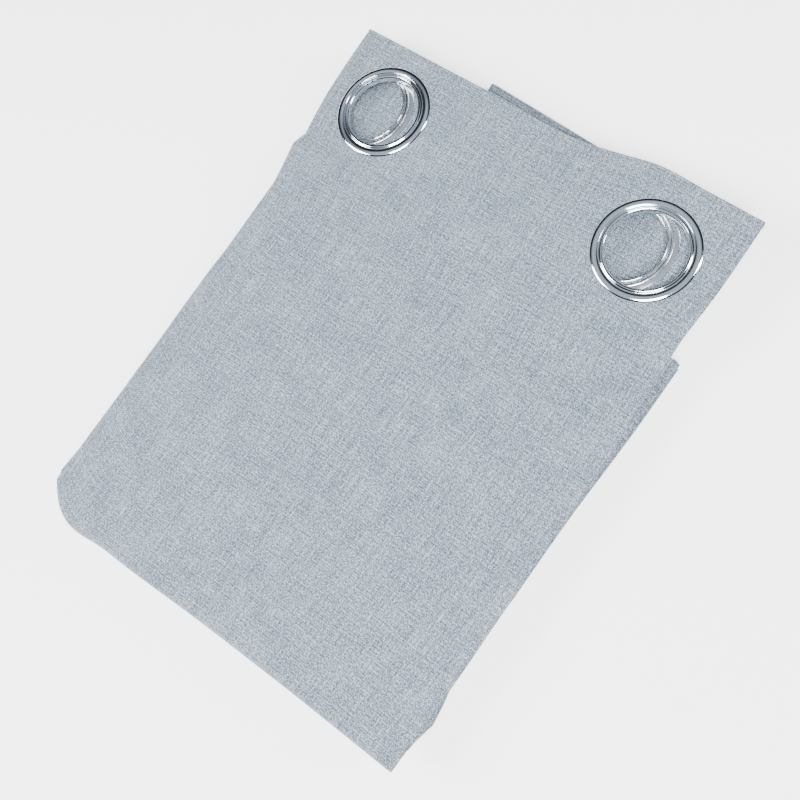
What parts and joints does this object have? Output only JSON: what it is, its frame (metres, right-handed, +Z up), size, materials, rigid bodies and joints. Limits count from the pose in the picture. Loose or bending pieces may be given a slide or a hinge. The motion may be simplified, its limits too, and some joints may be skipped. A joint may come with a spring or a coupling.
{
  "type": "folded eyelet curtain panel",
  "caption": "Linen-look curtain panel with metal eyelets in its header, folded flat into a packet that opens in a concertina.",
  "frame": {"origin": "on the surface that the packet lies on, under the middle of its bounding box", "axes": "+X along the header towards the side hems, +Y from the bottom fold towards the header's top edge, +Z up"},
  "size_m": [0.248, 0.3198, 0.0321],
  "materials": {
    "linen_weave": "plain weave with slubs, matt, pale blue-grey",
    "header_tape": "stiff non-woven tape, off-white",
    "eyelet_chrome": "polished, bright"
  },
  "bodies": {
    "leaf_1": {"lower_leaf_1": "linen_weave"},
    "leaf_2": {"lower_leaf_2": "linen_weave"},
    "leaf_3": {"lower_leaf_3": "linen_weave"},
    "leaf_4": {"lower_leaf_4": "linen_weave"},
    "header_leaf": {"front_ply": "linen_weave", "back_ply": "linen_weave", "second_fold_upper": "linen_weave", "second_fold_lower": "linen_weave", "third_fold_upper": "linen_weave", "third_fold_lower": "linen_weave", "header_tape_front_ply": "header_tape", "header_tape_back_ply": "header_tape", "header_tape_second_fold_upper": "header_tape", "header_tape_second_fold_lower": "header_tape", "header_tape_third_fold_upper": "header_tape", "header_tape_third_fold_lower": "header_tape", "eyelet_ring_1": "eyelet_chrome", "eyelet_ring_2": "eyelet_chrome", "eyelet_ring_3": "eyelet_chrome", "eyelet_ring_4": "eyelet_chrome", "eyelet_ring_5": "eyelet_chrome", "eyelet_ring_6": "eyelet_chrome", "eyelet_ring_7": "eyelet_chrome", "eyelet_ring_8": "eyelet_chrome", "eyelet_washer_1": "eyelet_chrome", "eyelet_washer_2": "eyelet_chrome", "eyelet_washer_3": "eyelet_chrome", "eyelet_washer_4": "eyelet_chrome", "eyelet_washer_5": "eyelet_chrome", "eyelet_washer_6": "eyelet_chrome", "eyelet_washer_7": "eyelet_chrome", "eyelet_washer_8": "eyelet_chrome"}
  },
  "joints": [
    {"name": "crease_1", "type": "hinge", "parent": "leaf_1", "child": "leaf_2", "pos_m": [0, 0.06975, 0.0051], "axis": [-1, 0, 0], "range_deg": [0, 180]},
    {"name": "crease_2", "type": "hinge", "parent": "leaf_2", "child": "leaf_3", "pos_m": [0, -0.14995, 0.0102], "axis": [1, 0, 0], "range_deg": [0, 180]},
    {"name": "crease_3", "type": "hinge", "parent": "leaf_3", "child": "leaf_4", "pos_m": [0, 0.06975, 0.0153], "axis": [-1, 0, 0], "range_deg": [0, 180]},
    {"name": "crease_4", "type": "hinge", "parent": "leaf_4", "child": "header_leaf", "pos_m": [0, -0.15995, 0.0204], "axis": [1, 0, 0], "range_deg": [0, 180]}
  ],
  "couplings": [
    {"joint": "crease_1", "follows": "crease_4", "ratio": 1},
    {"joint": "crease_2", "follows": "crease_4", "ratio": 1},
    {"joint": "crease_3", "follows": "crease_4", "ratio": 1}
  ]
}
